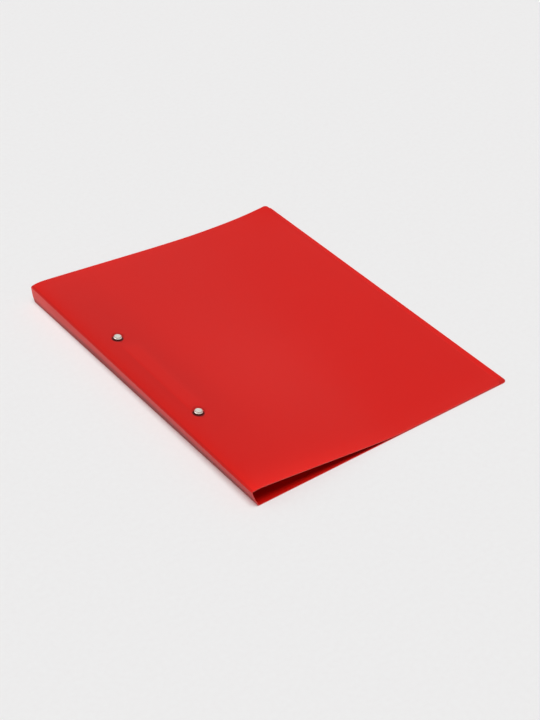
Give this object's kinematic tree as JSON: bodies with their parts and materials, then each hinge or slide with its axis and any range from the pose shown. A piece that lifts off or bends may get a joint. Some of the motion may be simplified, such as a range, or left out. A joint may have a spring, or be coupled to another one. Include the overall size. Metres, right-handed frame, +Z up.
{
  "type": "spring clip folder",
  "caption": "Closed A4 spring clip folder in red plastic sheet, creased at the spine, with a sprung paper clamp riveted under the front cover.",
  "frame": {"origin": "centre of the closed folder's footprint, on the underside of the bottom cover", "axes": "+Y along the spine towards its far end, +X from the spine to the fore edge, +Z up through the closed covers"},
  "size_m": [0.246, 0.31, 0.0181],
  "materials": {
    "red_sheet": "satin polypropylene sheet with a fine grain",
    "nickel_plate": "satin nickel plate",
    "spring_steel": "drawn spring wire",
    "soft_grip": "matt soft vinyl"
  },
  "bodies": {
    "bottom_cover": {"bottom_cover": "red_sheet"},
    "spine": {"spine_panel": "red_sheet", "bottom_crease_web": "red_sheet", "top_crease_web": "red_sheet"},
    "clip_cover": {"clip_cover": "red_sheet", "clip_base_plate": "nickel_plate", "rivet_near": "nickel_plate", "rivet_far": "nickel_plate", "hinge_pin": "spring_steel", "torsion_spring_near": "spring_steel", "torsion_spring_far": "spring_steel"},
    "jaw": {"clamp_jaw": "nickel_plate", "jaw_grip_strip": "soft_grip"}
  },
  "joints": [
    {"name": "spine_fold", "type": "hinge", "parent": "bottom_cover", "child": "spine", "pos_m": [-0.11701, 0, 0.00035], "axis": [0, -1, 0], "range_deg": [0, 62]},
    {"name": "cover_fold", "type": "hinge", "parent": "spine", "child": "clip_cover", "pos_m": [-0.12097, 0, 0.01596], "axis": [-0.0112, -0.9999, -0.0028], "range_deg": [0, 124]},
    {"name": "jaw_open", "type": "hinge", "parent": "clip_cover", "child": "jaw", "pos_m": [-0.1042, -0.00153, 0.01153], "axis": [0.0112, 0.9999, 0.0064], "range_deg": [0, 22], "stiffness_Nm_per_rad": 0.31, "springref_deg": -63.03, "deforming": ["torsion_spring_near", "torsion_spring_far"]}
  ]
}
